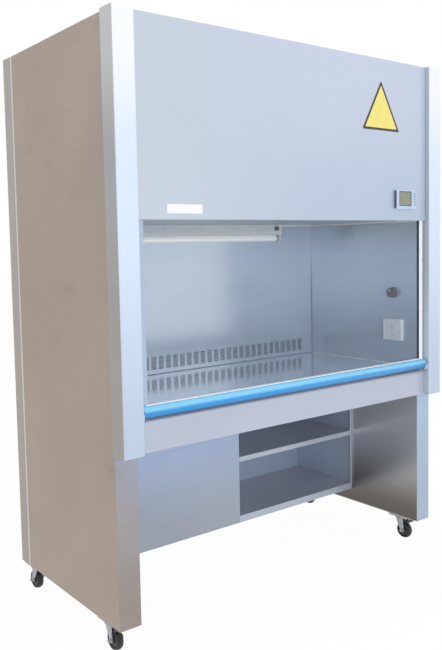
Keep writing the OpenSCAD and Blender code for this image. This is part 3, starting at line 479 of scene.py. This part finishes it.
def across_x(x, y, z, side):
    """Takes Z to the side along X, at a place."""
    return Matrix.Translation((x, y, z)) @ Matrix.Rotation(side * math.pi / 2, 4, "Y")


def join(form, first, second):
    """Adds the faces between two closed rows of points."""
    count = len(first)
    for i in range(count):
        j = (i + 1) % count
        form.faces.new((first[i], first[j], second[j], second[i]))


def prism(form, outline, depth, matrix):
    """Adds an outline in XY, pushed along Z by depth and put in place by a matrix."""
    low = [form.verts.new(matrix @ Vector((x, y, 0))) for x, y in outline]
    high = [form.verts.new(matrix @ Vector((x, y, depth))) for x, y in outline]
    form.faces.new(low)
    form.faces.new(high)
    join(form, low, high)


def circle(form, radius, height, matrix, steps):
    """A row of points round Z, put in place by a matrix."""
    return [form.verts.new(matrix @ Vector((radius * math.cos(a), radius * math.sin(a), height)))
            for a in (2 * math.pi * i / steps for i in range(steps))]


def lathe(form, profile, matrix, steps=40):
    """Adds a solid of revolution about Z: profile is (radius, height) from the axis back to the axis."""
    rings = [circle(form, radius, height, matrix, steps) if radius else
             [form.verts.new(matrix @ Vector((0, 0, height)))] for radius, height in profile]
    for first, second in zip(rings, rings[1:]):
        if len(first) == len(second):
            join(form, first, second)
            continue
        tip, edge = sorted((first, second), key=len)
        for i in range(steps):
            form.faces.new((tip[0], edge[i], edge[(i + 1) % steps]))


def ring(form, profile, matrix, steps=48):
    """Adds a closed ring of revolution about Z: profile is a closed loop of (radius, height)."""
    rings = [circle(form, radius, height, matrix, steps) for radius, height in profile]
    for first, second in zip(rings, rings[1:] + rings[:1]):
        join(form, first, second)


def rounded(width, height, radius, steps=5):
    """Outline of a rectangle with rounded corners, centred."""
    points = []
    for quarter, (side_x, side_y) in enumerate(((1, 1), (-1, 1), (-1, -1), (1, -1))):
        for i in range(steps + 1):
            a = math.pi / 2 * (quarter + i / steps)
            points.append((side_x * (width / 2 - radius) + radius * math.cos(a),
                           side_y * (height / 2 - radius) + radius * math.sin(a)))
    return points


FACING = {                                 # a plate's XY seen upright, its Z towards the viewer
    "front": Euler((math.pi / 2, 0, 0)).to_matrix().to_4x4(),
    "left": Euler((math.pi / 2, 0, -math.pi / 2)).to_matrix().to_4x4(),
    "up": Matrix.Identity(4),
    "down": Euler((math.pi, 0, 0)).to_matrix().to_4x4(),
}


def at(where, facing):
    """Puts a form that was drawn about the origin at a place, turned to a side."""
    return Matrix.Translation(where) @ FACING[facing]


SCREW = ((0, 0.25), (0.42, 0.25), (0.46, 0.62), (0.75, 0.56), (1, 0.2), (1, 0), (0, 0))


def screws(name, places, facing, size, finish="zinc", body="cabinet"):
    """Domed screw heads with a round socket, SCREW being their profile in radii."""
    form = bmesh.new()
    profile = [(radius * size / 2, height * size / 2) for radius, height in SCREW]
    for where in places:
        lathe(form, profile, at(where, facing), 12)
    return piece(name, form, finish, body)


def steps_between(start, end, count):
    """Evenly spaced values from start to end, both among them."""
    return [start + (end - start) * i / (count - 1) for i in range(count)]


def bead(name, start, end, across, finish, radius):
    """Quarter-round bead along a line; across are the two directions of the corner's walls."""
    start, end = Vector(start), Vector(end)
    side, up = Vector(across[0]), Vector(across[1])
    arc = [(0, 0)]
    arc += [(radius * math.cos(a), radius * math.sin(a)) for a in steps_between(0, math.pi / 2, 7)]
    frame_of = Matrix((side, up, (end - start).normalized())).transposed().to_4x4()
    form = bmesh.new()
    prism(form, arc, (end - start).length, Matrix.Translation(start) @ frame_of)
    return piece(name, form, finish)


# Plates on the front cover: where their middles or feet are, and their sizes
SIGN = {"middle": 0.4225, "foot": 1.720, "height": 0.187, "width": 0.213, "rim": 0.009, "corner": 0.003,
        "field_corner": 0.002, "thickness": 0.0006, "field_thickness": 0.0004}
NAME_PLATE = {"middle": -0.512, "height": 1.4095, "size": (0.136, 0.029), "corner": 0.002,
              "thickness": 0.0008}


def triangle(width, height, radius, steps=5):
    """Upright triangle with rounded corners, its foot at 0."""
    corners = [Vector((-width / 2, 0)), Vector((width / 2, 0)), Vector((0, height))]
    points = []
    for i, corner in enumerate(corners):
        before = (corners[i - 1] - corner).normalized()
        after = (corners[(i + 1) % 3] - corner).normalized()
        half = math.acos(before.dot(after)) / 2
        middle = corner + (before + after).normalized() * radius / math.sin(half)
        start, end = (corner + way * radius / math.tan(half) - middle for way in (before, after))
        first = math.atan2(start.y, start.x)
        sweep = (math.atan2(end.y, end.x) - first + math.pi) % (2 * math.pi) - math.pi
        for a in steps_between(first, first + sweep, steps):
            points.append((middle.x + radius * math.cos(a), middle.y + radius * math.sin(a)))
    return points


def make_cover_plates():
    """Bare triangle plate and blank name plate on the front cover."""
    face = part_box("front_cover")[0].y
    width, height, rim = SIGN["width"], SIGN["height"], SIGN["rim"]
    form = bmesh.new()
    prism(form, triangle(width, height, SIGN["corner"]), SIGN["thickness"],
          at((SIGN["middle"], face, SIGN["foot"]), "front"))
    piece("sign_border", form, "border", edge=0.0002)
    inradius = width * height / (width + 2 * math.hypot(width / 2, height))
    share = 1 - rim / inradius
    form = bmesh.new()
    prism(form, triangle(width * share, height * share, SIGN["field_corner"]), SIGN["field_thickness"],
          at((SIGN["middle"], face - SIGN["thickness"], SIGN["foot"] + rim), "front"))
    piece("sign_field", form, "yellow", edge=0.00015)
    form = bmesh.new()
    prism(form, rounded(*NAME_PLATE["size"], NAME_PLATE["corner"]), NAME_PLATE["thickness"],
          at((NAME_PLATE["middle"], face, NAME_PLATE["height"]), "front"))
    piece("name_plate", form, "white", edge=0.0002)


# white strip along the bar's top: a painted highlight
BAR_HIGHLIGHT_STRIP = {"inset": 0.012, "set_back": 0.0105, "rise": 0.0035, "gap": 0.0005}
BAR_CAP = {"length": 0.004, "front": 0.001, "rear": 0.0155, "foot": 0.001, "top": 0.022}


def make_handle_trim():
    """White strip between bar and glass, a painted highlight along the bar's top, and the bar's end caps."""
    low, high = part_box("sash_handle")
    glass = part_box("sash_glass")[0].y
    form = bmesh.new()
    block(form, (low.x + BAR_HIGHLIGHT_STRIP["inset"], low.y + BAR_HIGHLIGHT_STRIP["set_back"], high.z),
          (high.x - BAR_HIGHLIGHT_STRIP["inset"], glass - BAR_HIGHLIGHT_STRIP["gap"], high.z + BAR_HIGHLIGHT_STRIP["rise"]))
    piece("sash_highlight_strip", form, "white", "sash", edge=0.0008)
    form = bmesh.new()
    for side, x in ((-1, low.x), (1, high.x)):
        slab(form, x, side * BAR_CAP["length"], (low.y + BAR_CAP["front"], low.z + BAR_CAP["foot"]),
             (low.y + BAR_CAP["rear"], low.z + BAR_CAP["top"]))
    piece("sash_end_caps", form, "white", "sash", edge=0.001)


CEILING_BEAD, CORNER_BEAD, FOOT_BEAD = 0.006, 0.003, 0.0025
TO_LEFT, TO_RIGHT, TO_FRONT, UPWARD, DOWNWARD = (-1, 0, 0), (1, 0, 0), (0, -1, 0), (0, 0, 1), (0, 0, -1)


def make_chamber_trim():
    """Cream sealing beads round the ceiling and along the work surface's sides, and grey ones in the corners
    and along its back, darker lower down as painted shade.
    """
    left, right = WALL_LEFT, WALL_RIGHT
    back_low, back_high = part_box("chamber_back_wall")
    top, back = back_high.z, back_low.y
    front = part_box("chamber_wall_right")[0].y + 0.002
    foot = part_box("work_tray")[1].z
    bead("bead_back", (left, back, top), (right, back, top), (TO_FRONT, DOWNWARD), "cream", CEILING_BEAD)
    bead("bead_right", (right, back, top), (right, front, top), (DOWNWARD, TO_LEFT), "cream", CEILING_BEAD)
    bead("bead_left", (left, front, top), (left, back, top), (DOWNWARD, TO_RIGHT), "cream", CEILING_BEAD)
    for name, x, inward in (("right", right, TO_LEFT), ("left", left, TO_RIGHT)):
        across = (inward, TO_FRONT) if name == "right" else (TO_FRONT, inward)
        bead(f"bead_corner_{name}", (x, back, foot), (x, back, top), across, "bead", CORNER_BEAD)
        bead(f"bead_foot_{name}", (x, front, foot), (x, back, foot), (inward, UPWARD), "cream", FOOT_BEAD)
    # grey bead in its darkest colour: a painted shadow line where the back wall meets the work surface
    bead("bead_foot_back", (left, back, foot), (right, back, foot), (TO_FRONT, UPWARD), "bead", FOOT_BEAD)


# bright strip at each side panel's rear joint: a painted highlight
SEAM_HIGHLIGHT = {"thickness": 0.0008, "before": 0.011, "after": 0.0026, "end_gap": 0.002}


def make_side_seam_highlights():
    """Bright strip along each side panel's joint with the rear sheet: a painted highlight of the rolled edge
    there.
    """
    for name, side in (("left", -1), ("right", 1)):
        low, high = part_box(f"side_panel_{name}")
        form = bmesh.new()
        slab(form, high.x if side > 0 else low.x, side * SEAM_HIGHLIGHT["thickness"],
             (high.y - SEAM_HIGHLIGHT["before"], low.z + SEAM_HIGHLIGHT["end_gap"]),
             (high.y + SEAM_HIGHLIGHT["after"], high.z - SEAM_HIGHLIGHT["end_gap"]))
        piece(f"seam_{name}", form, "cream", edge=0.0003)


CAP_STEPS = (0.0006, 0.0012, 0.0155, 0.0165, 0.015, 0.001)        # along the tube, from its end
CAP_PROUD = (-0.0004, 0.0003, 0.0003, -0.0002, -0.002, -0.002)    # beyond the tube's radius at each
BATTEN_END = {"thickness": 0.0016, "margin": 0.001, "height": 0.041}
STARTER = {"inset": 0.034, "drop": 0.016,
           "profile": [(0, 0.012), (0.0075, 0.012), (0.009, 0.0105), (0.009, 0.002), (0.0105, 0.0015),
                       (0.0105, 0), (0, 0)]}
BATTEN_SCREWS = {"places": (-0.38, 0.36, 5), "drop": 0.016, "size": 0.006}


def make_lamp_details():
    """Metal caps of the tube, starter, screws and end caps of the batten."""
    low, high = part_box("lamp_tube")
    batten_low, batten_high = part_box("lamp_batten")
    y, z, r = (low.y + high.y) / 2, (low.z + high.z) / 2, (high.z - low.z) / 2
    cap = [(r + proud, step) for proud, step in zip(CAP_PROUD, CAP_STEPS)]
    margin = BATTEN_END["margin"]
    for name, x, end, side in (("left", low.x, batten_low.x, 1), ("right", high.x, batten_high.x, -1)):
        form = bmesh.new()
        ring(form, cap, across_x(x, y, z, side))
        piece(f"tube_cap_{name}", form, "zinc")
        form = bmesh.new()
        slab(form, end, -side * BATTEN_END["thickness"],
             (batten_low.y + margin, batten_high.z - BATTEN_END["height"]),
             (batten_high.y - margin, batten_high.z - margin))
        piece(f"batten_end_{name}", form, "cream", edge=0.0006)
    form = bmesh.new()
    where = (batten_high.x - STARTER["inset"], batten_low.y, batten_high.z - STARTER["drop"])
    lathe(form, STARTER["profile"], at(where, "front"), 32)
    piece("lamp_starter", form, "dark")
    z = batten_high.z - BATTEN_SCREWS["drop"]
    screws("batten_screws", [(x, batten_low.y, z) for x in steps_between(*BATTEN_SCREWS["places"])],
           "front", BATTEN_SCREWS["size"])


SOCKET_RIM = {"outer": 0.008, "outer_corner": 0.004, "inner": 0.013, "inner_corner": 0.003,
              "height": 0.0012}
SOCKET_JOINT = {"half_width": 0.0006, "height": 0.0007, "end_gap": 0.008}
SOCKET_SCREWS = {"rise": 0.28, "size": 0.005}


def make_socket_details():
    """Raised rim, middle joint and screws of the socket plate."""
    low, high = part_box("socket_plate")
    x, y, z = low.x, (low.y + high.y) / 2, (low.z + high.z) / 2
    wide, tall = high.y - low.y, high.z - low.z
    outer = rounded(wide - SOCKET_RIM["outer"], tall - SOCKET_RIM["outer"], SOCKET_RIM["outer_corner"])
    inner = rounded(wide - SOCKET_RIM["inner"], tall - SOCKET_RIM["inner"], SOCKET_RIM["inner_corner"])
    rise = SOCKET_RIM["height"]
    face = at((x, y, z), "left")
    form = bmesh.new()
    loops = [[form.verts.new(face @ Vector((px, py, height))) for px, py in outline]
             for outline, height in ((outer, 0.0), (outer, rise), (inner, rise), (inner, 0.0))]
    for first, second in zip(loops, loops[1:] + loops[:1]):
        join(form, first, second)
    piece("socket_rim", form, "socket", edge=0.0004)
    half, gap = SOCKET_JOINT["half_width"], SOCKET_JOINT["end_gap"]
    form = bmesh.new()
    slab(form, x, -SOCKET_JOINT["height"], (y - half, low.z + gap), (y + half, high.z - gap))
    piece("socket_joint", form, "joint", edge=0.0002)
    screws("socket_screws", [(x, y, z + side * tall * SOCKET_SCREWS["rise"]) for side in (-1, 1)],
           "left", SOCKET_SCREWS["size"], "joint")


POINTER = {"height": 0.0012, "half_width": 0.0015, "start": 0.003, "end": 0.004}
FLANGE_SCREWS = {"margin": 0.002, "sink": 0.004, "size": 0.0036}


def make_cock_details():
    """Pointer ridge on the service cock's knob, and the flange's screws."""
    low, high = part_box("cock_knob")
    y, z = (low.y + high.y) / 2, (low.z + high.z) / 2
    half = POINTER["half_width"]
    form = bmesh.new()
    slab(form, low.x, -POINTER["height"], (y - half, z + POINTER["start"]),
         (y + half, high.z - POINTER["end"]))
    piece("knob_pointer", form, "white", "cock", edge=0.0005)
    flange_low, flange_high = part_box("cock_body")
    r = (flange_high.z - flange_low.z) / 2 - FLANGE_SCREWS["margin"]
    turns = [math.pi / 4 + math.pi / 2 * i for i in range(4)]
    screws("cock_screws", [(flange_high.x - FLANGE_SCREWS["sink"], y + r * math.cos(a), z + r * math.sin(a))
                           for a in turns], "left", FLANGE_SCREWS["size"])


# size of the dark strip on the control unit's side: painted shade
HOUSING_SHADE = {"thickness": 0.0012, "front": 0.0015, "rear": 0.0003, "end_gap": 0.005}
SCREEN_RIM = {"width": 0.0025, "height": 0.0008}


def make_control_details():
    """Dark strip on the control unit's outer side, painted shade of that side face, and the frame round its
    screen.
    """
    low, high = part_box("control_housing")
    form = bmesh.new()
    slab(form, low.x, -HOUSING_SHADE["thickness"], (low.y + HOUSING_SHADE["front"], low.z + HOUSING_SHADE["end_gap"]),
         (high.y - HOUSING_SHADE["rear"], high.z - HOUSING_SHADE["end_gap"]))
    piece("control_side_shade", form, "housing_shade", edge=0.0004)
    face = low.y
    low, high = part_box("control_screen")
    rim = SCREEN_RIM["width"]
    form = bmesh.new()
    for x0, x1, z0, z1 in (
            (low.x - rim, low.x, low.z - rim, high.z + rim),
            (high.x, high.x + rim, low.z - rim, high.z + rim),
            (low.x, high.x, low.z - rim, low.z),
            (low.x, high.x, high.z, high.z + rim)):
        block(form, (x0, face - SCREEN_RIM["height"], z0), (x1, face, z1))
    bmesh.ops.remove_doubles(form, verts=form.verts, dist=1e-6)
    piece("screen_frame", form, "dark", edge=0.0003)


TREAD = {"count": 40, "sink": 0.0011, "size": (0.0018, 0.0028, 0.0062, 1.0)}
HUB_DISC = {"stand": 0.008, "profile": [(0.0125, 0.0), (0.0225, 0.0), (0.0225, 0.0006), (0.021, 0.0012),
                                        (0.0145, 0.0012), (0.0125, 0.0004)]}
AXLE_NUT = {"radius": 0.0068, "height": 0.0038, "sink": 0.0032}
PAD_BOLT = {"x": 0.0225, "y": 0.036, "size": 0.01}
PAD_THICKNESS, PAD_HALF = 0.012, 0.046     # of the castors' pads, the half along Y


def make_castor_details():
    """Treads, hub discs and axle nuts of the wheels, and the pads' bolts."""
    plate_low, plate_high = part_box("castor_plates")
    pad_foot = plate_high.z - PAD_THICKNESS
    pad_middle = {"front": plate_low.y + PAD_HALF, "rear": plate_high.y - PAD_HALF}
    r = AXLE_NUT["radius"]
    hexagon = [(r * math.cos(math.pi / 3 * i), r * math.sin(math.pi / 3 * i)) for i in range(6)]
    for corner in CORNERS:
        low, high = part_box(f"wheel_{corner}")
        x, y, z = (low.x + high.x) / 2, (low.y + high.y) / 2, (low.z + high.z) / 2
        reach = (high.z - low.z) / 2 - TREAD["sink"]
        groove = Matrix.Translation((reach, 0, 0)) @ Matrix.Diagonal(TREAD["size"])
        across = across_x(x, y, z, 1)
        form = bmesh.new()
        for turn in range(TREAD["count"]):
            around = Matrix.Rotation(2 * math.pi * turn / TREAD["count"], 4, "Z")
            bmesh.ops.create_cube(form, size=1.0, matrix=across @ around @ groove)
        piece(f"tread_{corner}", form, "tread", f"roller_{corner}", edge=0.0004, segments=1)
        form = bmesh.new()
        for flip in (math.pi, 0):
            stand = Matrix.Translation((0, 0, HUB_DISC["stand"]))
            ring(form, HUB_DISC["profile"], across @ Matrix.Rotation(flip, 4, "X") @ stand)
        piece(f"hub_disc_{corner}", form, "hub", f"roller_{corner}")
        fork_low, fork_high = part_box(f"fork_{corner}")
        form = bmesh.new()
        for side, end in ((-1, fork_low.x), (1, fork_high.x)):
            prism(form, hexagon, AXLE_NUT["height"], across_x(end - side * AXLE_NUT["sink"], y, z, side))
        piece(f"axle_nuts_{corner}", form, "zinc", f"swivel_{corner}", edge=0.0005)
        bolt_x, bolt_y = (fork_low.x + fork_high.x) / 2, pad_middle[corner.split("_")[0]]
        screws(f"pad_bolts_{corner}", [(bolt_x + i * PAD_BOLT["x"], bolt_y + j * PAD_BOLT["y"], pad_foot)
                                       for i in (-1, 1) for j in (-1, 1)], "down", PAD_BOLT["size"])


TOP_SCREWS = {"inset": 0.014, "front": 0.05, "rear": 0.03, "rows": 4, "size": 0.008}


def make_top_details():
    """Screws along the top sheet."""
    low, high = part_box("top_panel")
    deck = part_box("side_panel_left")[1].z
    rows = steps_between(low.y + TOP_SCREWS["front"], high.y - TOP_SCREWS["rear"], TOP_SCREWS["rows"])
    screws("top_screws", [(side * (high.x - TOP_SCREWS["inset"]), y, deck) for side in (-1, 1) for y in rows],
           "up", TOP_SCREWS["size"])


make_cover_plates()
make_handle_trim()
make_chamber_trim()
make_side_seam_highlights()
make_lamp_details()
make_socket_details()
make_cock_details()
make_control_details()
make_castor_details()
make_top_details()

# ---------------------------------------------------------------- stage and light


def either(tree, first, second):
    """The larger of two values."""
    return add(tree, "ShaderNodeMath", {0: first, 1: second}, operation="MAXIMUM").outputs[0]


DIRECT_WHITE = 0.93                        # share of the floor's own white in the picture; the rest is shaded


def make_stage():
    """Pale floor that keeps the object's shadow and is plain white in metal and glass."""
    material, tree = new_material("floor")
    speckle = noise(tree, 0.4, 3.0)
    white = add(tree, "ShaderNodeBsdfDiffuse", {
        "Color": mix(tree, spread(tree, speckle, 0, 1), rgb(232, 232, 232), rgb(238, 238, 238))})
    glow = add(tree, "ShaderNodeEmission", {"Color": (1, 1, 1, 1), "Strength": 1.03})
    path = add(tree, "ShaderNodeLightPath")
    direct = add(tree, "ShaderNodeMath", {0: path.outputs["Is Camera Ray"], 1: DIRECT_WHITE},
                 operation="MULTIPLY").outputs[0]
    share = either(tree, direct,
                   either(tree, path.outputs["Is Glossy Ray"], path.outputs["Is Transmission Ray"]))
    both = add(tree, "ShaderNodeMixShader", {0: share, 1: white.outputs[0], 2: glow.outputs[0]})
    close(tree, both.outputs[0])
    bpy.ops.mesh.primitive_plane_add(size=60)
    floor = bpy.context.object
    floor.name = "floor"
    floor.data.materials.append(material)


def make_world():
    """Even pale surroundings, white where the picture, metal or glass shows them."""
    world = bpy.data.worlds.new("studio")
    SCENE.world = world
    world.use_nodes = True
    tree = world.node_tree
    tree.nodes.clear()
    path = add(tree, "ShaderNodeLightPath")
    seen = either(tree, either(tree, path.outputs["Is Camera Ray"], path.outputs["Is Glossy Ray"]),
                  path.outputs["Is Transmission Ray"])
    colour = mix(tree, seen, (0.56, 0.575, 0.59, 1), (1, 1, 1, 1))
    sky = add(tree, "ShaderNodeBackground", {"Color": colour, "Strength": 1.0})
    add(tree, "ShaderNodeOutputWorld", {"Surface": sky.outputs[0]})


def soft_light(name, where, aim, size, power):
    """Area lamp at a place, turned to its aim, power in watts."""
    data = bpy.data.lights.new(name, "AREA")
    data.shape = "RECTANGLE"
    data.size, data.size_y = size
    data.energy = power
    lamp = bpy.data.objects.new(name, data)
    lamp.visible_glossy = False              # the steel mirrors the white surroundings alone
    lamp.location = where
    lamp.rotation_euler = (Vector(aim) - Vector(where)).to_track_quat("-Z", "Y").to_euler()
    SCENE.collection.objects.link(lamp)


make_stage()
make_world()
soft_light("front", (-0.3, -4.4, 1.25), (0, 0, 1.0), (3.6, 2.2), 72)
soft_light("top", (-0.5, -0.5, 4.6), (0, 0, 1.0), (3.0, 3.0), 20)
SCENE.view_settings.view_transform = "Standard"
